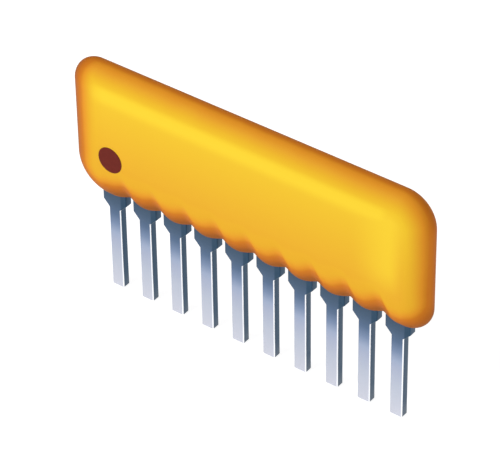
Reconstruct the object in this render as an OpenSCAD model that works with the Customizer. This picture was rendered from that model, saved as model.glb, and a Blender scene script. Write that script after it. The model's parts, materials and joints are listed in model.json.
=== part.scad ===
// Resistor network: ten flat leads in one row, thick-film plate inside, dipped epoxy coat outside.
// Millimetres. X runs along the lead row from lead one, -Y is the marked front, Z points up.
// The origin is the middle of the lead row on the board's face, where the taper meets the shank.

/* [Leads] */
// Number of leads in the row
lead_count = 10; // [4:1:12]
// Distance from one lead to the next
lead_pitch = 2.54; // [2.4:0.01:3]
// Width of the straight shank that goes through the board
lead_width = 0.95; // [0.5:0.05:1.2]
// Thickness of the stamped sheet
lead_thickness = 0.62; // [0.4:0.02:0.7]
// Length of the shank below the board's face
shank_length = 6.5; // [3:0.1:10]
// Width of the shoulder that stops on the board
shoulder_width = 1.92; // [1.7:0.02:2.1]
// Height of the slope from shank to shoulder
taper_height = 0.52; // [0.2:0.02:0.8]

/* [Clip] */
// Thickness of the coined clip fingers
finger_thickness = 0.3; // [0.2:0.02:0.36]
// Width of the front finger
front_finger_width = 0.7; // [0.5:0.02:0.8]
// Slit between the front finger and the two back fingers
finger_slit = 0.12; // [0.08:0.02:0.2]
// Height over which a finger bends out from the shoulder
bend_height = 0.9; // [0.7:0.05:1.1]
// Length of the fingers on the plate
finger_grip = 1.8; // [1.4:0.1:2.4]
// How far the finger tips flare out as a lead-in
finger_flare = 0.1; // [0.05:0.01:0.15]
// Shoulder height that the coat covers below the bend
root_cover = 0.5; // [0.4:0.05:0.8]

/* [Plate and films] */
// Thickness of the alumina plate
plate_thickness = 0.64; // [0.5:0.02:0.8]
// Plate length past the centre of each end lead
plate_overhang = 1.2; // [1.1:0.05:1.5]
// Coat depth over the plate's top edge
plate_top_cover = 1; // [0.8:0.1:1.6]
// Thickness of one printed film
film_thickness = 0.03; // [0.02:0.005:0.04]
// Width of a terminal pad
pad_width = 1.6; // [1.4:0.05:1.8]
// Bare plate below a pad and above the bus
film_margin = 0.3; // [0.2:0.05:0.4]
// Width of the bus along the top and of its riser
bus_width = 0.8; // [0.6:0.05:1]
// Width of a resistor film
resistor_width = 1.3; // [1:0.05:1.4]
// Length of a resistor film that laps over a conductor
resistor_lap = 0.3; // [0.2:0.02:0.4]
// Width of the laser cut that trims a resistor
trim_kerf = 0.08; // [0.05:0.01:0.12]
// Depth of the laser cut as a share of the resistor's width
trim_share = 0.45; // [0.2:0.05:0.6]
// Glass over the resistor laps
glaze_cover = 0.03; // [0.02:0.005:0.05]
// Height of the solder past the finger's tip
solder_reach = 0.4; // [0.3:0.05:0.5]

/* [Coat] */
// Thickness of the coat over its flat faces
coat_thickness = 2.5; // [2.2:0.05:3]
// Height of the coat
coat_height = 10.22; // [9.5:0.01:12]
// Height of the coat's lower edge above the board's face
coat_lift = 1.19; // [1:0.01:1.6]
// Coat length past the centre of lead one
first_end_length = 2.86; // [2.4:0.02:3.5]
// Coat length past the centre of the last lead
last_end_length = 2.36; // [2.3:0.02:3.5]
// Depth of the rounded rim, from the outline to the flat face
rim_depth = 1.7; // [1.4:0.05:1.8]
// Outline radius at the top beside lead one
first_top_radius = 1.64; // [1:0.02:3]
// Outline radius at the top beside the last lead
last_top_radius = 2.46; // [1:0.02:3]
// Outline radius at the bottom beside lead one
first_bottom_radius = 2.8; // [1:0.02:3]
// Outline radius at the bottom beside the last lead
last_bottom_radius = 1.64; // [1:0.02:2.4]
// Rise of the lower edge between two leads
lobe_rise = 0.33; // [0.1:0.01:0.6]
// Extra depth of the rounded rim between two leads
lobe_reach = 1.1; // [0:0.1:1.8]
// Sideways shift of the lobes at the lower edge, towards the last lead
lobe_shift = 0.35; // [0:0.05:0.5]
// Sideways shift of the lobes where they run out on the face
crease_shift = 0.05; // [0:0.05:0.6]

/* [Mark] */
// Diameter of the dot beside lead one
dot_diameter = 1.94; // [1:0.02:2.4]
// Distance of the dot's centre from lead one along the row
dot_offset = 0.57; // [0:0.01:1.5]
// Height of the dot's centre above the board's face
dot_lift = 4.79; // [4.3:0.01:7]
// Thickness of the printed ink
dot_thickness = 0.03; // [0.02:0.01:0.05]

/* [Hidden] */
row_half = (lead_count - 1) * lead_pitch / 2;
function lead_x(i) = (i - 1) * lead_pitch - row_half;

// Coat outline
coat_first = -row_half - first_end_length;
coat_last = row_half + last_end_length;
coat_top = coat_lift + coat_height;
least_radius = 0.05;
face_shift = min(crease_shift, last_end_length - rim_depth - 2 * least_radius);
first_low_radius = min(first_bottom_radius, first_end_length - least_radius);
last_low_radius = min(last_bottom_radius, last_end_length - max(lobe_shift, crease_shift) - least_radius);
lobe_softness = 0.3;
lobe_steps = 10;
corner_steps = 10;
rim_steps = 8;

// Small laps and margins
finger_lap = 0.1;
flare_length = 0.4;
solder_inset = 0.1;
solder_slope = 0.15;
solder_crest = 0.12;
solder_wall = 0.08;
glaze_margin = 0.15;
trim_drop = 0.4;
trim_rise = 0.3;

// Heights, from the coat's lower edge up
shoulder_top = coat_lift + root_cover;
plate_bottom = shoulder_top + bend_height;
plate_top = coat_top - plate_top_cover;
finger_top = plate_bottom + finger_grip;
solder_bottom = plate_bottom + film_margin + solder_inset;
solder_top = finger_top + solder_reach;
glaze_bottom = solder_top + glaze_margin;
pad_bottom = plate_bottom + film_margin;
pad_top = glaze_bottom + glaze_margin + resistor_lap;
bus_top = plate_top - film_margin;
bus_bottom = bus_top - bus_width;
glaze_top = bus_bottom + resistor_lap + glaze_margin;

// Depths, from the plate's front face forward
plate_face = -plate_thickness / 2;
film_face = plate_face - film_thickness;
lap_face = film_face - film_thickness;
glaze_face = lap_face - glaze_cover;

// Widths
end_cover = 0.8;
plate_past = min(plate_overhang, first_end_length - end_cover, last_end_length - end_cover);
plate_end = row_half + plate_past;
back_finger_width = (shoulder_width - front_finger_width) / 2 - finger_slit;
back_finger_x = (shoulder_width - back_finger_width) / 2;
solder_width = pad_width - 2 * solder_inset;
solder_face = film_face - 0.7 * finger_thickness;

ALL_LEADS = [for (i = [1:lead_count]) i];

// Valley between two lobes of the lower edge: 0 at a lead, 1 halfway to the next
function soft_cos(x) = sqrt(pow(cos(180 * (x + row_half) / lead_pitch), 2) + pow(lobe_softness, 2));
function valley(x) = (soft_cos(-row_half) - soft_cos(x)) / (soft_cos(-row_half) - lobe_softness);

// Arc of the outline about one corner, inset by d, from angle a to a + 90
function corner(x, z, sx, sz, radius, d, a) =
    let (r = max(radius - d, least_radius))
    [for (k = [0:corner_steps])
        let (t = a + 90 * k / corner_steps)
        [x + sx * (d + r) + r * cos(t), z + sz * (d + r) + r * sin(t)]];

// Coat outline inset by d: the lobed lower edge, then the four corners in turn
function coat_ring(d) = concat(
    [for (k = [0:(lead_count - 1) * lobe_steps])
        let (x = k * lead_pitch / lobe_steps - row_half, s = d / rim_depth)
        [x + lobe_shift * (1 - s) + face_shift * s,
            coat_lift + d + valley(x) * (lobe_rise * (1 - s) + lobe_reach * s)]],
    corner(coat_last, coat_lift, -1, 1, last_low_radius, d, 270),
    corner(coat_last, coat_top, -1, -1, last_top_radius, d, 0),
    corner(coat_first, coat_top, 1, -1, first_top_radius, d, 90),
    corner(coat_first, coat_lift, 1, 1, first_low_radius, d, 180)
);

// Solid dipped form: rings run from the front face over the rim to the back face.
// Each face is closed by triangles from one hub in every bay between two leads.
module coat_form() {
    rings = 2 * rim_steps;
    count = len(coat_ring(0));
    bays = lead_count - 1;
    lows = bays * lobe_steps;
    top_first = lows + 2 * (corner_steps + 1) + 1;
    points = [for (j = [0:rings])
        let (t = 90 * (j - rim_steps) / rim_steps, y = coat_thickness / 2 * sin(t))
        each [for (p = coat_ring(rim_depth * (1 - cos(t)))) [p[0], y, p[1]]]];
    hubs = [for (side = [-1, 1], i = [0:bays - 1])
        [(i + 0.5) * lead_pitch - row_half, side * coat_thickness / 2, (coat_lift + coat_top) / 2]];
    function at(j, k) = j * count + k % count;
    function bay(k) = k < lows ? floor(k / lobe_steps) : k < top_first ? bays - 1 : 0;
    function face(j, hub) = concat(
        [for (k = [0:count - 1]) [hub + bay(k), at(j, k + 1), at(j, k)]],
        [for (i = [1:1:bays - 1]) each [
            [hub + i - 1, hub + i, at(j, i * lobe_steps)], [hub + i, hub + i - 1, at(j, top_first)]]]);
    sides = [for (j = [0:rings - 1], k = [0:count - 1])
        each [[at(j, k), at(j + 1, k + 1), at(j + 1, k)], [at(j, k), at(j, k + 1), at(j + 1, k + 1)]]];
    back = [for (f = face(rings, len(points) + bays)) [f[2], f[1], f[0]]];
    polyhedron(concat(points, hubs), concat(face(0, len(points)), sides, back));
}

// Sheet of the lead seen from the front: shank, taper and shoulder
module lead_blank() {
    half = lead_width / 2;
    wide = shoulder_width / 2;
    rotate([90, 0, 0])
        linear_extrude(lead_thickness, center = true)
            polygon([
                [-half, -shank_length], [half, -shank_length], [half, 0], [wide, taper_height],
                [wide, shoulder_top], [-wide, shoulder_top], [-wide, taper_height], [-half, 0]
            ]);
}

// Centre line of a finger in Y and Z with its slope: root, bend, straight grip, flared tip
function finger_line(root, grip) = concat(
    [[root, shoulder_top - finger_lap, 0]],
    [for (k = [0:8])
        let (s = k / 8, run = grip - root)
        [root + run * s * s * (3 - 2 * s), shoulder_top + bend_height * s,
            run * 6 * s * (1 - s) / bend_height]],
    [for (k = [0:4])
        let (s = k / 4, out = sign(grip) * finger_flare)
        [grip + out * s * s, finger_top - flare_length * (1 - s), out * 2 * s / flare_length]]
);

// Sheet of even thickness along a finger's centre line
module finger(side, inner_face, width) {
    root = side * (lead_thickness - finger_thickness) / 2;
    line = finger_line(root, side * (inner_face + finger_thickness / 2));
    function edge(p, h) = [p[0] + h / sqrt(1 + p[2] * p[2]), p[1] - h * p[2] / sqrt(1 + p[2] * p[2])];
    near = [for (p = line) edge(p, -finger_thickness / 2)];
    far = [for (k = [len(line) - 1:-1:0]) edge(line[k], finger_thickness / 2)];
    rotate([90, 0, 90])
        linear_extrude(width, center = true)
            polygon(concat(near, far));
}

// Stamped lead with a clip of one front finger and two back fingers
module terminal(i) {
    color([0.78, 0.8, 0.84])
        translate([lead_x(i), 0, 0])
            union() {
                lead_blank();
                finger(-1, -film_face, front_finger_width);
                for (side = [-1, 1])
                    translate([side * back_finger_x, 0, 0])
                        finger(1, plate_thickness / 2, back_finger_width);
            }
}

// Section in depth and height carried along the row from x0 to x1
module along_row(x0, x1, section) {
    translate([x0, 0, 0])
        rotate([90, 0, 90])
            linear_extrude(x1 - x0)
                polygon(section);
}

// Block of a printed film between two depths, over a range of X and Z
module film(x0, x1, z0, z1, outer, inner) {
    along_row(x0, x1, [[outer, z0], [inner, z0], [inner, z1], [outer, z1]]);
}

module ceramic_substrate() {
    color([0.93, 0.92, 0.88])
        film(-plate_end, plate_end, plate_bottom, plate_top, plate_face, -plate_face);
}

module pad_form(i) {
    film(lead_x(i) - pad_width / 2, lead_x(i) + pad_width / 2, pad_bottom, pad_top, film_face, plate_face);
}

module terminal_pad(i) {
    color([0.75, 0.75, 0.72])
        pad_form(i);
}

// Pad one, its riser and the bus are one print
module bus_conductor() {
    riser = lead_x(1) - bus_width / 2;
    color([0.75, 0.75, 0.72])
        union() {
            pad_form(1);
            film(riser, riser + bus_width, pad_top - resistor_lap, bus_top, film_face, plate_face);
            film(riser, lead_x(lead_count) + pad_width / 2, bus_bottom, bus_top, film_face, plate_face);
        }
}

// Film on the plate that steps up over the pad below and the bus above, trimmed by an L-shaped cut
module resistor_element(i) {
    step = film_thickness;
    low = (pad_top + bus_bottom) / 2 - trim_drop;
    high = low + trim_drop + trim_rise;
    x0 = lead_x(i + 1) - resistor_width / 2;
    x1 = x0 + trim_share * resistor_width;
    color([0.12, 0.12, 0.13])
        difference() {
            along_row(x0, x0 + resistor_width, [
                [plate_face, pad_top], [plate_face, bus_bottom], [film_face, bus_bottom],
                [film_face, bus_bottom + resistor_lap], [lap_face, bus_bottom + resistor_lap],
                [lap_face, bus_bottom - step], [film_face, bus_bottom - 2 * step],
                [film_face, pad_top + 2 * step], [lap_face, pad_top + step],
                [lap_face, pad_top - resistor_lap], [film_face, pad_top - resistor_lap],
                [film_face, pad_top]
            ]);
            rotate([90, 0, 0])
                linear_extrude(-glaze_face)
                    polygon([
                        [x0 - trim_kerf, low], [x1, low], [x1, high], [x1 - trim_kerf, high],
                        [x1 - trim_kerf, low + trim_kerf], [x0 - trim_kerf, low + trim_kerf]
                    ]);
        }
}

module glaze_form() {
    past = pad_width / 2 + glaze_margin;
    film(lead_x(1) - past, lead_x(lead_count) + past, glaze_bottom, glaze_top, glaze_face, plate_face);
}

// Glass that fills around the films and covers them
module glass_overglaze() {
    color([0.2, 0.42, 0.3])
        difference() {
            glaze_form();
            bus_conductor();
            for (i = [2:lead_count]) {
                pad_form(i);
                resistor_element(i - 1);
            }
        }
}

// Solder heap on a pad, before the finger in it is cut out: it narrows away from the pad
module solder_form(i) {
    x = lead_x(i);
    wide = solder_width / 2;
    slim = front_finger_width / 2 + solder_wall;
    low = solder_bottom + solder_slope;
    high = finger_top + solder_crest;
    polyhedron(
        [
            [x - wide, film_face, solder_bottom], [x + wide, film_face, solder_bottom],
            [x + wide, film_face, solder_top], [x - wide, film_face, solder_top],
            [x - slim, solder_face, low], [x + slim, solder_face, low],
            [x + slim, solder_face, high], [x - slim, solder_face, high]
        ],
        [[0, 1, 2, 3], [7, 6, 5, 4], [4, 5, 1, 0], [5, 6, 2, 1], [6, 7, 3, 2], [7, 4, 0, 3]]
    );
}

module solder_joint(i) {
    color([0.68, 0.7, 0.74])
        difference() {
            solder_form(i);
            terminal(i);
        }
}

// Dipped form less everything that it was dipped over
module epoxy_coating() {
    color([0.95, 0.72, 0.16])
        difference() {
            coat_form();
            ceramic_substrate();
            bus_conductor();
            glaze_form();
            for (i = [2:lead_count])
                pad_form(i);
            for (i = ALL_LEADS) {
                terminal(i);
                solder_form(i);
            }
        }
}

// Ink dot on the front face beside lead one
module pin_one_dot() {
    color([0.43, 0.17, 0.15])
        translate([lead_x(1) + dot_offset, -coat_thickness / 2, dot_lift])
            rotate([90, 0, 0])
                cylinder(h = dot_thickness, d = dot_diameter, $fn = 64);
}

epoxy_coating();
pin_one_dot();
ceramic_substrate();
bus_conductor();
glass_overglaze();
for (i = ALL_LEADS)
    terminal(i);
for (i = ALL_LEADS)
    solder_joint(i);
for (i = [2:lead_count])
    terminal_pad(i);
for (i = [1:lead_count - 1])
    resistor_element(i);
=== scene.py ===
# Resistor network in a single row: dipped epoxy coat, ink dot, ten tinned leads, thick-film plate inside.
import json
import bpy
import numpy as np
from mathutils import Matrix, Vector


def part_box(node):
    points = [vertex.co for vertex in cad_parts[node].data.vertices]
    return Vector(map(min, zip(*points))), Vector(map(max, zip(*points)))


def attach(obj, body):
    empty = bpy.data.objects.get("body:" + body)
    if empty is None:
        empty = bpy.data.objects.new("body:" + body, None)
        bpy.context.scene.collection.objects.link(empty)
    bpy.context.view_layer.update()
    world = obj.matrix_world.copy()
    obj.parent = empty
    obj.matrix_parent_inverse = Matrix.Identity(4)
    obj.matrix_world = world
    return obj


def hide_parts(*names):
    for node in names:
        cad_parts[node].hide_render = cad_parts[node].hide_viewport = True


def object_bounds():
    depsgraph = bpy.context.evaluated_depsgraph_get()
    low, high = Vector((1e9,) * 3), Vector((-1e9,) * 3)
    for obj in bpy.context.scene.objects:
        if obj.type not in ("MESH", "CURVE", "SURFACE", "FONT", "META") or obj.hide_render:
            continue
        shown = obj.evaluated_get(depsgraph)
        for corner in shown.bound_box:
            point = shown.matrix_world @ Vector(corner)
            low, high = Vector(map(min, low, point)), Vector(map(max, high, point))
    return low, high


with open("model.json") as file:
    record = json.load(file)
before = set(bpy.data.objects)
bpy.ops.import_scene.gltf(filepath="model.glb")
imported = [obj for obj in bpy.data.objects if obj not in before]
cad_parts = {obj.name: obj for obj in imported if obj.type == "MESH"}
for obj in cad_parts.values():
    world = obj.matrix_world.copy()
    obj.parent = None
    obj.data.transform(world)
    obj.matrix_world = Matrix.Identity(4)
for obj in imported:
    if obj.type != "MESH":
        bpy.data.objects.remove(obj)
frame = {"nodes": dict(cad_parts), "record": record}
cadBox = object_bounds()
mm = 0.001
print("frame loaded:", len(frame["nodes"]), "solids")


def linearColour(hexText):  # sRGB hex to linear RGBA
    c = np.array([int(hexText[i:i + 2], 16) for i in (1, 3, 5)]) / 255
    c = np.where(c <= 0.04045, c / 12.92, ((c + 0.055) / 1.055) ** 2.4)
    return (*c.tolist(), 1.0)


# Soft step from 0 below a to 1 above b
def softStep(v, a, b):
    f = np.clip((v - a) / (b - a), 0, 1)
    return f * f * (3 - 2 * f)


# Soft band: a step up from a to b times a step down from c to d
def softBand(v, a, b, c, d):
    return softStep(v, a, b) * (1 - softStep(v, c, d))


# Adds one node: props are its own settings, inputs are socket values or links, stops are ramp colours
def addNode(tree, kind, props=(), inputs=(), stops=()):
    node = tree.nodes.new(kind)
    for key, value in dict(props).items():
        setattr(node, key, value)
    for key, value in dict(inputs).items():
        if isinstance(value, bpy.types.NodeSocket):
            tree.links.new(value, node.inputs[key])
        else:
            node.inputs[key].default_value = value
    for _ in stops[2:]:  # a new ramp has two stops
        node.color_ramp.elements.new(0.5)
    for k, (place, hexText) in enumerate(stops):
        node.color_ramp.elements[k].position = place
        node.color_ramp.elements[k].color = linearColour(hexText)
    return node


def startMaterial(name, **sockets):  # sockets are constants on the shader itself
    material = bpy.data.materials.new(name)
    material.use_nodes = True
    shader = material.node_tree.nodes["Principled BSDF"]
    for key, value in sockets.items():
        shader.inputs[key.replace("_", " ")].default_value = value
    return material, material.node_tree, shader


# Two-tone grain in the base colour: noise of a size in mm, then a ramp from dark to light
def addGrain(tree, shader, size, detail, dark, light):
    place = addNode(tree, "ShaderNodeTexCoord").outputs["Object"]
    grain = addNode(tree, "ShaderNodeTexNoise",
                    inputs={"Vector": place, "Scale": 1 / (size * mm), "Detail": detail})
    tone = addNode(tree, "ShaderNodeValToRGB", inputs={"Fac": grain.outputs["Fac"]},
                   stops=[(0.3, dark), (0.7, light)])
    tree.links.new(tone.outputs["Color"], shader.inputs["Base Color"])


# Puts numpy points and faces into a mesh object at the origin, with float attributes per point
def makePiece(name, points, faces, material, nodes, attributes=()):
    mesh = bpy.data.meshes.new(name)
    mesh.from_pydata((np.asarray(points) * mm).tolist(), [], faces)
    for key, values in dict(attributes).items():
        layer = mesh.attributes.new(key, "FLOAT", "POINT")
        layer.data.foreach_set("value", np.asarray(values, np.float32))
    mesh.polygons.foreach_set("use_smooth", np.full(len(mesh.polygons), True))
    mesh.materials.append(material)
    mesh.validate()
    mesh.update()
    piece = bpy.data.objects.new(name, mesh)
    bpy.context.scene.collection.objects.link(piece)
    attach(piece, "root")
    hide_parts(*nodes)
    return piece


# Quads between the rows of an index table, each row a closed ring
def ringFaces(table):
    following = np.roll(table, -1, 1)
    return np.stack([table[:-1], following[:-1], following[1:], table[1:]], -1).reshape(-1, 4).tolist()


# World matrix from a place in mm and three axes
def placed(place, axes):
    return Matrix.Translation(place * mm) @ Matrix(np.stack(axes, 1).tolist()).to_4x4()


# Camera, floor and light

view = dict(azimuth=37.334, elevation=37.546, roll=-0.846, target=(-0.373, 0.0, 2.72), distance=198.14,
            focalPixels=3074.4, frameWidth=500, sensor=36, nearest=0.005, farthest=20)


# Camera on a sphere around the target: back points from the target to it, and the roll turns about back
def makeCamera(v):
    a, e, r = np.radians([v["azimuth"], v["elevation"], v["roll"]])
    back = np.array([np.sin(a) * np.cos(e), -np.cos(a) * np.cos(e), np.sin(e)])
    right = np.array([np.cos(a), np.sin(a), 0])
    up = np.cross(back, right)
    across = right * np.cos(r) + up * np.sin(r)
    rise = -right * np.sin(r) + up * np.cos(r)
    data = bpy.data.cameras.new("camera")
    data.sensor_width = v["sensor"]
    data.lens = v["focalPixels"] / v["frameWidth"] * v["sensor"]
    data.clip_start = v["nearest"]
    data.clip_end = v["farthest"]
    camera = bpy.data.objects.new("camera", data)
    camera.matrix_world = placed(np.array(v["target"]) + back * v["distance"], [across, rise, back])
    bpy.context.scene.collection.objects.link(camera)
    bpy.context.scene.camera = camera


makeCamera(view)

lamps = [  # place and aim in mm, size in mm, power in watts
    dict(name="softBox", place=(-115, -180, 220), aim=(0, 0, 4), size=200, power=0.565),
    dict(name="hairLight", place=(150, 30, 190), aim=(0, 0, 6), size=160, power=0.11),
]


# Round lamps that look along their own -z from place to aim
def makeLamps(rows):
    for lamp in rows:
        data = bpy.data.lights.new(lamp["name"], "AREA")
        data.shape = "DISK"
        data.size = lamp["size"] * mm
        data.energy = lamp["power"]
        light = bpy.data.objects.new(lamp["name"], data)
        place = np.array(lamp["place"], float)
        z = place - lamp["aim"]
        z /= np.linalg.norm(z)
        x = np.cross([0, 0, 1], z)
        x /= np.linalg.norm(x)
        light.matrix_world = placed(place, [x, np.cross(z, x), z])
        bpy.context.scene.collection.objects.link(light)


makeLamps(lamps)

air = dict(colour="#fbfcff", strength=0.26)


def makeAir(a):  # even light from all around
    world = bpy.data.worlds.new("studioAir")
    world.use_nodes = True
    background = world.node_tree.nodes["Background"]
    background.inputs["Color"].default_value = linearColour(a["colour"])
    background.inputs["Strength"].default_value = a["strength"]
    bpy.context.scene.world = world
    bpy.context.scene.view_settings.view_transform = "Standard"


makeAir(air)

opal = dict(reach=2, rough=0.8, gloss=0.1, glow=0.86, grain=20, detail=2, dark="#a9a9a9", light="#ababab")


# Backlit opal acrylic table: an even white that keeps shadows faint, reach in metres
def makeFloor(t, level):
    material, tree, shader = startMaterial(
        "backlit_opal_acrylic", Roughness=t["rough"], Specular_IOR_Level=t["gloss"],
        Emission_Color=linearColour("#ffffff"), Emission_Strength=t["glow"])
    addGrain(tree, shader, t["grain"], t["detail"], t["dark"], t["light"])
    r = t["reach"]
    mesh = bpy.data.meshes.new("floor")
    mesh.from_pydata([(-r, -r, level), (r, -r, level), (r, r, level), (-r, r, level)], [], [(0, 1, 2, 3)])
    mesh.materials.append(material)
    floor = bpy.data.objects.new("floor", mesh)
    bpy.context.scene.collection.objects.link(floor)


makeFloor(opal, cadBox[0][2])
print("camera, floor and light set")

# Dipped epoxy coat, sizes in mm

coat = dict(
    # corners and rim, then lobes, then mesh steps, then the middle line of each face
    rim=1.7, firstTop=1.64, lastTop=2.46, firstBottom=2.8, lastBottom=1.64, least=0.05, crown=0.05,
    pitch=2.54, leads=10, rise=0.33, reach=1.1, softness=0.3, edgeShift=0.35, faceShift=0.05,
    ringSteps=30, lobeSteps=24, cornerSteps=16, endSteps=15, faceSteps=16,
    lineReach=0.93, lineFollow=0.9,
    # reach of the painted shade band along each edge, paler at the top, and the rounding where two bands meet
    lowDark=1.6, firstDark=1.15, lastDark=0.1, topPale=0.15, deepest=-0.75,
    firstEase=0.36, firstEaseTo=(-12.2, -10.6), lastEase=0.36, lastEaseFrom=(10.6, 12.0),
    backDark=0.72, backFrom=-0.25, backMost=1, backFade=(0.35, 1.3),
    turnFirst=1.0, turnLast=2.4, turnLow=1.5,
    # painted shade on the lobes: depth, creases, fall across a lobe as a share of the pitch, and where it
    # fades
    firstFlank=0.3, lastFlank=0.66, creaseAt=-0.03, creaseLean=0.47, leanFrom=2.5, leanMost=2,
    creaseSoft=0.25, creaseCrisp=0.09, fall=(0.15, 0.88), lobeEnds=(-11.6, -10.4, 11.6, 13.0),
    lobeFade=(3.4, 4.8),
    # painted highlight along the ridge: distances under the top and in from both ends, and the height that
    # its end part climbs to
    ridgeUnder=(0.9, 1.4, 1.8, 2.6), ridgeLast=(2.2, 3.4), ridgeFirst=(1.6, 3.2),
    endBeside=(1.4, 2.6, 2.4, 5.6), endAbove=(3.2, 6.0), endUnder=(0.9, 2.0), endShare=0.75,
    # finish: gloss, cloudy tone and painted shade by depth in from the edges, more amber towards the bottom,
    # the painted highlight's colour, and orange peel
    rough=0.48, gloss=0.03, refraction=1.5, cloud=2.2, cloudDetail=3, cloudShare=0.2,
    toneFrom=-1.1, toneTo=2.5,
    tones=[(0.0, "#8c4c14"), (0.11, "#a05a1c"), (0.22, "#be6a1f"), (0.333, "#d47c20"), (0.351, "#d98722"),
           (0.396, "#e59528"), (0.476, "#eaa82b"), (0.573, "#eeb92d"), (0.68, "#f2c52f"), (0.858, "#f3c731")],
    amberFull=3.5, amberNone=9.5, lowAmber="#f7def3", faceFrom=0.3, faceTo=1.6, ridge="#fad436",
    peel=0.9, peelDetail=2, peelShare=0.06, peelDepth=0.05)
boxLow, boxHigh = [np.array(p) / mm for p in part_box("epoxy_coating")]
coat.update(first=boxLow[0], last=boxHigh[0], lower=boxLow[2], upper=boxHigh[2],
            half=(boxHigh[1] - boxLow[1]) / 2)
rowHalf = (coat["leads"] - 1) * coat["pitch"] / 2


# Valley between two lobes: 0 at a lobe, 1 halfway to the next, from a cosine with a softened cusp
def lobeValley(x, c):
    wave = np.sqrt(np.cos(np.pi * (x + rowHalf) / c["pitch"]) ** 2 + c["softness"] ** 2)
    most = np.sqrt(1 + c["softness"] ** 2)
    return np.where(np.abs(x) < rowHalf, (most - wave) / (most - c["softness"]), 0.0)


# Depth of the face at x and z: half the thickness in the middle, and less by the crown at the rim
def faceDepth(x, z, c):
    u = (2 * x - c["first"] - c["last"]) / (c["last"] - c["first"])
    w = (2 * z - c["lower"] - c["upper"]) / (c["upper"] - c["lower"])
    return c["half"] - c["crown"] + c["crown"] * np.clip(1 - u ** 4, 0, 1) * np.clip(1 - w ** 4, 0, 1)


# Outline inset by d, one row per d: lobed lower edge, then corner arcs and straight runs in turn
def coatOutline(d, c):
    d = np.asarray(d, float)[:, None]
    s = d / c["rim"]
    x = np.linspace(-rowHalf, rowHalf, (c["leads"] - 1) * c["lobeSteps"] + 1)[None]
    parts = [(x + c["edgeShift"] * (1 - s) + c["faceShift"] * s,
              c["lower"] + d + lobeValley(x, c) * (c["rise"] * (1 - s) + c["reach"] * s))]
    corners = [("last", "lower", c["lastBottom"], 270), ("last", "upper", c["lastTop"], 0),
               ("first", "upper", c["firstTop"], 90), ("first", "lower", c["firstBottom"], 180)]
    for k, (end, edge, radius, turn) in enumerate(corners):
        t = np.radians(turn + np.linspace(0, 90, c["cornerSteps"] + 1))[None]
        r = np.maximum(radius - d, c["least"])
        inX = -1 if end == "last" else 1
        inZ = -1 if edge == "upper" else 1
        cx = c[end] + inX * (d + r) + r * np.cos(t)
        cz = c[edge] + inZ * (d + r) + r * np.sin(t)
        if k:  # straight run from the corner before, the top one with as many points as the lobed edge
            f = np.linspace(0, 1, (x.shape[1] if k == 2 else c["endSteps"]) + 2)[None, 1:-1]
            px, pz = parts[-1][0][:, -1:], parts[-1][1][:, -1:]
            parts.append((px + (cx[:, :1] - px) * f, pz + (cz[:, :1] - pz) * f))
        parts.append((cx, cz))
    start = c["cornerSteps"] + 1 + c["endSteps"] // 2 + 1  # the ring begins halfway down the first end
    return np.roll(np.concatenate([np.stack(p) for p in parts], 2), start, 2)


# Painted highlight where the flat face turns over: a band under the top edge, and a wider one before the last
# end
def ridgeHighlight(x, z, c):
    under = c["upper"] - z
    beside = c["last"] - x
    top = softBand(under, *c["ridgeUnder"]) * softStep(beside, *c["ridgeLast"])
    top = top * softStep(x - c["first"], *c["ridgeFirst"])
    end = softBand(beside, *c["endBeside"]) * softStep(z, *c["endAbove"]) * softStep(under, *c["endUnder"])
    return np.maximum(top, c["endShare"] * end)


# Painted shade on the lobes as a tooth along the row: pale past a crease, then deepening up to the next.
# Each crease leans back towards lead one as it climbs, the creases sharpen towards the last lead,
# and the tooth fades out above the lobes
def lobeShade(x, z, c):
    row = [-rowHalf, rowHalf]
    crease = c["creaseAt"] - c["creaseLean"] * np.clip(z - c["leanFrom"], 0, c["leanMost"])
    part = (x + rowHalf - crease) / c["pitch"] % 1
    wide = np.interp(x, row, [c["creaseSoft"], c["creaseCrisp"]])
    flank = np.interp(x, row, [c["firstFlank"], c["lastFlank"]])
    tooth = 0.5 - softStep(part, *c["fall"]) + softStep(part, 1 - wide, 1)
    return flank * tooth * softBand(x, *c["lobeEnds"]) * (1 - softStep(z, *c["lobeFade"]))


# Depth in from the edges for the painted shade along the rim: each edge's distance less the reach of its dark
# band, then the least of the four, rounded off where two edges meet. Over the ridge the painted shade on the
# top and the last end goes on darkening with y
def paintedShadeDepth(x, y, z, c):
    ease = c["firstEase"] * (1 - softStep(x, *c["firstEaseTo"]))
    ease = ease + c["lastEase"] * softStep(x, *c["lastEaseFrom"])
    low = np.maximum(z - c["lower"] - c["lowDark"] + lobeShade(x, z, c) + ease, c["deepest"])
    under = c["upper"] - z
    beside = c["last"] - x
    behind = c["backDark"] * np.clip(y - c["backFrom"], 0, c["backMost"])
    top = under + c["topPale"] - behind * (1 - softStep(under, *c["backFade"]))
    first = x - c["first"] - c["firstDark"]
    last = beside - c["lastDark"] - behind * (1 - softStep(beside, *c["backFade"]))
    up = np.minimum(low, top)
    side = np.minimum(first, last)
    turn = np.where(top < low, np.where(last < first, c["turnLast"], c["turnFirst"]), c["turnLow"])
    rounded = turn - np.hypot(np.maximum(turn - up, 0), np.maximum(turn - side, 0))
    return rounded + np.maximum(np.minimum(up, side) - turn, 0)
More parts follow.
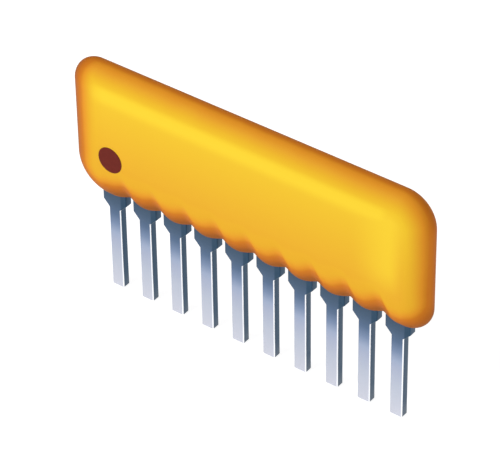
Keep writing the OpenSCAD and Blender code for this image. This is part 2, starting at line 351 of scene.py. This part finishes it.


# Golden filled epoxy, dipped and cured: satin and nearly even on the faces, with a painted highlight along
# the upper ridge, painted shade in burnt orange over the rim and along the lower edge, and more amber on the
# face towards the bottom
def dippedEpoxy(c):
    material, tree, shader = startMaterial(
        "dipped_epoxy", Roughness=c["rough"], Specular_IOR_Level=c["gloss"], IOR=c["refraction"])
    place = addNode(tree, "ShaderNodeTexCoord").outputs["Object"]
    cloud = addNode(tree, "ShaderNodeTexNoise",
                    inputs={"Vector": place, "Scale": 1 / (c["cloud"] * mm), "Detail": c["cloudDetail"]})
    # painted shade: burnt orange at the rim to golden inside, by the depth in from the edges
    depth = addNode(tree, "ShaderNodeAttribute", props={"attribute_name": "paintedShadeDepth"}).outputs["Fac"]
    uneven = addNode(tree, "ShaderNodeMath", props={"operation": "MULTIPLY_ADD"},
                     inputs={0: cloud.outputs["Fac"], 1: c["cloudShare"], 2: depth})
    span = addNode(tree, "ShaderNodeMapRange",
                   inputs={"Value": uneven.outputs[0], "From Min": c["toneFrom"], "From Max": c["toneTo"]})
    edge = addNode(tree, "ShaderNodeValToRGB", inputs={"Fac": span.outputs[0]}, stops=c["tones"])
    height = addNode(tree, "ShaderNodeSeparateXYZ", inputs={"Vector": place}).outputs["Z"]
    # more amber on the face towards the bottom
    towardsBottom = addNode(tree, "ShaderNodeMapRange",
                    inputs={"Value": height, "From Min": c["amberFull"] * mm, "From Max": c["amberNone"] * mm,
                            "To Min": 1, "To Max": 0})
    faceOnly = addNode(tree, "ShaderNodeMapRange", props={"interpolation_type": "SMOOTHSTEP"},
                       inputs={"Value": depth, "From Min": c["faceFrom"], "From Max": c["faceTo"],
                               "To Max": towardsBottom.outputs[0]})
    amber = addNode(tree, "ShaderNodeMix", props={"data_type": "RGBA", "blend_type": "MULTIPLY"},
                    inputs={"Factor": faceOnly.outputs[0], "A": edge.outputs["Color"],
                            "B": linearColour(c["lowAmber"])})
    # painted highlight along the ridge, mixed over the base colour
    ridge = addNode(tree, "ShaderNodeAttribute", props={"attribute_name": "ridgeHighlight"}).outputs["Fac"]
    pale = addNode(tree, "ShaderNodeMix", props={"data_type": "RGBA"},
                   inputs={"Factor": ridge, "A": amber.outputs["Result"], "B": linearColour(c["ridge"])})
    tree.links.new(pale.outputs["Result"], shader.inputs["Base Color"])
    peel = addNode(tree, "ShaderNodeTexNoise",
                   inputs={"Vector": place, "Scale": 1 / (c["peel"] * mm), "Detail": c["peelDetail"]})
    bump = addNode(tree, "ShaderNodeBump", inputs={"Height": peel.outputs["Fac"], "Strength": c["peelShare"],
                                                   "Distance": c["peelDepth"] * mm})
    tree.links.new(bump.outputs["Normal"], shader.inputs["Normal"])
    return material


# Rim: an ellipse of half thickness by rim depth carried around the outline.
# Faces: rows from the rim to a middle line, where the lower half of the ring meets the upper half
def makeCoat(c):
    t = np.radians(np.linspace(-90, 90, 2 * c["ringSteps"] + 1))
    x, z = coatOutline(c["rim"] * (1 - np.cos(t)), c)
    y = np.sin(t)[:, None] * faceDepth(x, z, c)
    columns = x.shape[1]
    half = columns // 2
    mate = np.minimum(np.arange(columns), columns - np.arange(columns))  # place on the middle line
    mx = (c["first"] + c["last"]) / 2
    mz = (c["lower"] + c["upper"]) / 2
    even = np.linspace(x[0, 0], x[0, half], half + 1)
    line = c["lineFollow"] * x[0, :half + 1] + (1 - c["lineFollow"]) * even
    line = mx + c["lineReach"] * (line - mx)
    f = np.linspace(0, 1, c["faceSteps"] + 1)[1:, None]
    fx = x[:1] + (line[mate] - x[:1]) * f
    fz = z[:1] + (mz - z[:1]) * f
    fy = faceDepth(fx, fz, c)
    rows = np.concatenate([np.stack([fx, -fy, fz], -1)[::-1], np.stack([x, y, z], -1),
                           np.stack([fx, fy, fz], -1)])
    table = np.arange(rows.shape[0] * columns).reshape(-1, columns)
    table[[0, -1]] = table[[0, -1]][:, mate]  # both halves share the middle line
    keep, index = np.unique(table, return_inverse=True)
    index = index.reshape(table.shape)
    quads = np.array(ringFaces(index[:, ::-1]))
    atTip = np.isin(quads, index[[0, 0, -1, -1], [0, half, 0, half]])  # quads at the middle line's ends
    split = atTip.any(1)
    turned = np.take_along_axis(quads[split], (atTip[split].argmax(1)[:, None] + np.arange(4)) % 4, 1)
    faces = quads[~split].tolist() + turned[:, [0, 1, 2]].tolist() + turned[:, [0, 2, 3]].tolist()
    points = rows.reshape(-1, 3)[keep]
    px, py, pz = points.T
    makePiece("coat", points, faces, dippedEpoxy(c), ["epoxy_coating"],
              {"paintedShadeDepth": paintedShadeDepth(px, py, pz, c), "ridgeHighlight": ridgeHighlight(px, pz, c)})


makeCoat(coat)
print("coat made")

# Ink dot beside lead one, sizes in mm

dot = dict(radius=0.97, x=-rowHalf + 0.57, z=4.79, ink=0.028, sink=0.01,
           rings=10, ringsFrom=0.1, ringsTo=0.95, lip=(0.985, 1.0), lipShare=0.4, spokes=96,
           rough=0.55, gloss=0.04, grain=0.25, detail=4, dark="#6a271f", light="#712a21")


# Pad-printed ink: dead flat dark red-brown with a soft grain
def printedInk(d):
    material, tree, shader = startMaterial("printed_ink", Roughness=d["rough"], Specular_IOR_Level=d["gloss"])
    addGrain(tree, shader, d["grain"], d["detail"], d["dark"], d["light"])
    return material


# Disc that follows the coat: polar grid on the face, lifted by the ink, with its lip rolled down to the face
def makeDot(d, c):
    r = np.append(np.linspace(d["ringsFrom"], d["ringsTo"], d["rings"]), d["lip"])[:, None] * d["radius"]
    a = np.linspace(0, 2 * np.pi, d["spokes"], endpoint=False)[None]
    x = d["x"] + r * np.cos(a)
    z = d["z"] + r * np.sin(a)
    face = -faceDepth(x, z, c)
    lift = np.where(r < d["radius"], d["ink"], d["lipShare"] * d["ink"])
    rows = np.concatenate([np.stack([x, face - lift, z], -1), np.stack([x, face + d["sink"], z], -1)[::-1]])
    middle = -faceDepth(d["x"], d["z"], c)
    centres = [[d["x"], middle - d["ink"], d["z"]], [d["x"], middle + d["sink"], d["z"]]]
    points = np.concatenate([rows.reshape(-1, 3), centres])
    table = np.arange(len(points) - 2).reshape(rows.shape[:2])
    following = np.roll(table, -1, 1)
    front, back = np.repeat([[len(points) - 2], [len(points) - 1]], d["spokes"], 1)
    faces = ringFaces(table[:, ::-1])
    faces += np.stack([front, table[0], following[0]], 1).tolist()
    faces += np.stack([back, following[-1], table[-1]], 1).tolist()
    makePiece("dot", points, faces, printedInk(d), ["pin_one_dot"])


makeDot(dot, coat)
print("dot made")

# Tinned leads, sizes in mm

lead = dict(
    # section and lengths, then the fingers that grip the plate
    width=0.95, thickness=0.62, shoulder=1.92, taper=0.52, shank=6.5, top=1.69, edge=0.07, arcSteps=6,
    finger=0.3, frontWidth=0.7, slit=0.12, bend=0.9, bendSteps=12, grip=1.8, flare=0.1, flareLength=0.4,
    root=0.1, plate=0.64, film=0.03,
    # heights of the rings: above the tip with the inset there, along the shank, at the painted highlight
    # line's end, from the taper and from the top
    tipRows=(0, 0.02, 0.05), tipInset=(0.05, 0.015, 0), shankRows=(-5, -4, -3, -2, -1, -0.06, 0),
    lineEnd=(0.06, 0.1), shoulderRows=(-0.05, 0, 0.05, 0.38), topRows=(-0.04, 0),
    # where the sheared side and the painted highlight line begin and are full, by the cosine or sine of a
    # corner's turn
    cutFrom=0.8, cutFull=0.95, glintFrom=0.05, glintFull=0.25,
    # finish: tin grain, painted reflection tones from the tip up to the slate, the shoulder's wing in painted
    # shade, the painted shade slate of the sheared sides, and the corners' painted highlight
    rough=(0.24, 0.38), grain=0.3, detail=3, slateAt=1.5, wingFrom=0.01, wingFull=0.09,
    tones=[(0.0, "#c9cbd6"), (0.3, "#b7becd"), (0.49, "#a6afc5"), (0.56, "#9ca9c2"), (0.66, "#7789a7"),
           (0.76, "#586d8a"), (0.85, "#495e77"), (1.0, "#3f5061")],
    shadeSlate="#324a60", edgeGlint="#fbfcff")


# Rounded rectangle carried up the lead: half width follows tip, shank, taper and shoulder
def leadBar(p):
    tip = np.array(p["tipRows"]) - p["shank"]
    z = np.concatenate([tip, p["shankRows"], p["lineEnd"], np.add(p["shoulderRows"], p["taper"]),
                        np.add(p["topRows"], p["top"])])
    half = np.interp(z, [0, p["taper"]], [p["width"] / 2, p["shoulder"] / 2])
    inset = np.interp(z, tip, p["tipInset"])
    arc = np.linspace(0, 90, p["arcSteps"] + 1)
    turn = np.radians(np.concatenate([arc + 90 * q for q in range(4)]))[None]
    sx = np.repeat([1, -1, -1, 1], len(arc))[None]
    sy = np.repeat([1, 1, -1, -1], len(arc))[None]
    x = sx * (half - inset - p["edge"])[:, None] + p["edge"] * np.cos(turn)
    y = sy * (p["thickness"] / 2 - inset - p["edge"])[:, None] + p["edge"] * np.sin(turn)
    rows = np.stack([x, y, np.broadcast_to(z[:, None], x.shape)], -1)
    nx = np.abs(np.cos(turn))
    ny = np.abs(np.sin(turn))
    # sheared sides and tip; on the sides their dark slate is painted shade
    cut = np.clip((nx - p["cutFrom"]) / (p["cutFull"] - p["cutFrom"]), 0, 1)
    cut = np.maximum(cut, z[:, None] <= tip[0])  # sides and tip
    ramp = np.interp(z, [*tip[:2], *p["lineEnd"]], [0, 1, 1, 0])[:, None]
    # painted highlight line along the corners, up from the tip to the line's end
    edgeGlint = np.clip((np.minimum(nx, ny) - p["glintFrom"]) / (p["glintFull"] - p["glintFrom"]), 0, 1)
    edgeGlint = edgeGlint * ramp * (sx * sy < 0)  # front corner towards the last lead, and the one across from it
    table = np.arange(x.size).reshape(x.shape)
    faces = ringFaces(table) + [table[0, ::-1].tolist(), table[-1].tolist()]
    return rows.reshape(-1, 3), faces, cut.ravel(), edgeGlint.ravel()


# Strip of even thickness along a finger's centre line: root, S-bend, straight grip, flared tip
def fingerStrip(p, side, face, width, shift):
    s = np.linspace(0, 1, p["bendSteps"] + 1)
    root = side * (p["thickness"] - p["finger"]) / 2
    grip = side * (face + p["finger"] / 2)
    flare = side * p["flare"]
    tipTop = p["top"] + p["bend"] + p["grip"]
    y = np.concatenate([[root], root + (grip - root) * s * s * (3 - 2 * s), grip + flare * s * s])
    z = np.concatenate([[p["top"] - p["root"]], p["top"] + p["bend"] * s,
                        tipTop - p["flareLength"] * (1 - s)])
    slope = np.concatenate([[0], (grip - root) * 6 * s * (1 - s) / p["bend"],
                            flare * 2 * s / p["flareLength"]])
    across = np.array([-1, 1, 1, -1]) * width / 2
    through = np.array([-1, -1, 1, 1]) * p["finger"] / 2 / np.sqrt(1 + slope ** 2)[:, None]
    rows = np.stack([np.broadcast_to(shift + across, through.shape), y[:, None] + through,
                     z[:, None] - through * slope[:, None]], -1)
    table = np.arange(through.size).reshape(-1, 4)
    return rows.reshape(-1, 3), ringFaces(table) + [table[0, ::-1].tolist(), table[-1].tolist()]


# Hot-tinned copper alloy: a painted reflection, bright and pale at the tips and dull slate up by the coat,
# darker sheared sides whose dark is painted shade, painted shade on the shoulder's wing, and a painted
# highlight along the corners
def tinnedLead(p, c):
    material, tree, shader = startMaterial("tinned_copper_alloy", Metallic=1.0)
    place = addNode(tree, "ShaderNodeTexCoord").outputs["Object"]
    split = addNode(tree, "ShaderNodeSeparateXYZ", inputs={"Vector": place})
    # painted reflection: pale at the tips, darkening to slate up towards the coat
    along = addNode(tree, "ShaderNodeMapRange",
                    inputs={"Value": split.outputs["Z"], "From Min": -p["shank"] * mm,
                            "From Max": p["slateAt"] * mm})
    face = addNode(tree, "ShaderNodeValToRGB", inputs={"Fac": along.outputs[0]}, stops=p["tones"])
    # dark slate on the sheared sides and tips, which is painted shade on the sides
    cut = addNode(tree, "ShaderNodeAttribute", props={"attribute_name": "shearedSide"}).outputs["Fac"]
    # painted shade on the shoulder's right wing
    row = addNode(tree, "ShaderNodeMath", props={"operation": "ADD"},
                  inputs={0: split.outputs["X"], 1: rowHalf * mm})
    local = addNode(tree, "ShaderNodeMath", props={"operation": "WRAP"},
                    inputs={0: row.outputs[0], 1: c["pitch"] / 2 * mm, 2: -c["pitch"] / 2 * mm})
    wingShade = addNode(tree, "ShaderNodeMapRange",
                   inputs={"Value": local.outputs[0], "From Min": (p["width"] / 2 + p["wingFrom"]) * mm,
                           "From Max": (p["width"] / 2 + p["wingFull"]) * mm})
    shadeMask = addNode(tree, "ShaderNodeMath", props={"operation": "MAXIMUM"},
                   inputs={0: cut, 1: wingShade.outputs[0]})
    side = addNode(tree, "ShaderNodeMix", props={"data_type": "RGBA"},
                   inputs={"Factor": shadeMask.outputs[0], "A": face.outputs["Color"],
                           "B": linearColour(p["shadeSlate"])})
    # painted highlight along the corner towards the last lead
    edgeGlint = addNode(tree, "ShaderNodeAttribute", props={"attribute_name": "cornerHighlight"}).outputs["Fac"]
    line = addNode(tree, "ShaderNodeMix", props={"data_type": "RGBA"},
                   inputs={"Factor": edgeGlint, "A": side.outputs["Result"], "B": linearColour(p["edgeGlint"])})
    tree.links.new(line.outputs["Result"], shader.inputs["Base Color"])
    grain = addNode(tree, "ShaderNodeTexNoise",
                    inputs={"Vector": place, "Scale": 1 / (p["grain"] * mm), "Detail": p["detail"]})
    rough = addNode(tree, "ShaderNodeMapRange",
                    inputs={"Value": grain.outputs["Fac"], "To Min": p["rough"][0], "To Max": p["rough"][1]})
    tree.links.new(rough.outputs[0], shader.inputs["Roughness"])
    return material


# One bar with a finger in front and two behind, repeated at each place in the row
def makeLeads(p, c):
    material = tinnedLead(p, c)
    backWidth = (p["shoulder"] - p["frontWidth"]) / 2 - p["slit"]
    backShift = (p["shoulder"] - backWidth) / 2
    fingers = [(-1, p["plate"] / 2 + p["film"], p["frontWidth"], 0),
               (1, p["plate"] / 2, backWidth, -backShift),
               (1, p["plate"] / 2, backWidth, backShift)]
    points, faces, cut, edgeGlint = leadBar(p)
    for side, face, width, shift in fingers:
        more, moreFaces = fingerStrip(p, side, face, width, shift)
        faces += (np.array(moreFaces) + len(points)).tolist()
        points = np.concatenate([points, more])
    plain = np.zeros(len(points) - len(cut))  # the fingers have neither sheared sides nor painted corner highlights
    for i in range(c["leads"]):
        shifted = points + [i * c["pitch"] - rowHalf, 0, 0]
        piece = makePiece("lead_%d" % (i + 1), shifted, faces, material, ["terminal_%d" % (i + 1)],
                          {"shearedSide": np.append(cut, plain), "cornerHighlight": np.append(edgeGlint, plain)})
        piece.modifiers.new("evenShade", "WEIGHTED_NORMAL")


makeLeads(lead, coat)
print("leads made")

# Plate, films and solder inside the coat

inner = {  # base colours dark and light, grain in mm, roughness, metallic
    "alumina": dict(name="fired_alumina", dark="#e3dfd2", light="#f1efe6",
                    grain=0.15, rough=0.55, metal=0.0),
    "film_conductor": dict(name="silver_palladium_film", dark="#a5a39b", light="#c9c8c2",
                           grain=0.08, rough=0.4, metal=1.0),
    "film_resistor": dict(name="ruthenium_oxide_film", dark="#1c1c1f", light="#2b2b2e",
                          grain=0.06, rough=0.5, metal=0.0),
    "overglaze": dict(name="fired_glass_overglaze", dark="#2f6347", light="#3f7a57",
                      grain=0.3, rough=0.15, metal=0.0),
    "solder": dict(name="reflowed_solder", dark="#a3a8b2", light="#c4c8d0",
                   grain=0.2, rough=0.28, metal=1.0),
}
innerDetail = 4


# Fired films and solder: a fine two-tone grain, dull on the ceramics and brighter on the metals
def innerMaterial(m):
    material, tree, shader = startMaterial(m["name"], Roughness=m["rough"], Metallic=m["metal"])
    addGrain(tree, shader, m["grain"], innerDetail, m["dark"], m["light"])
    return material


innerFinish = {slot: innerMaterial(m) for slot, m in inner.items()}
for part in frame["record"]["subparts"]:
    if part["material_slot"] in innerFinish:
        node = frame["nodes"][part["node"]]
        node.data.materials.clear()
        node.data.materials.append(innerFinish[part["material_slot"]])
print("inner parts finished")
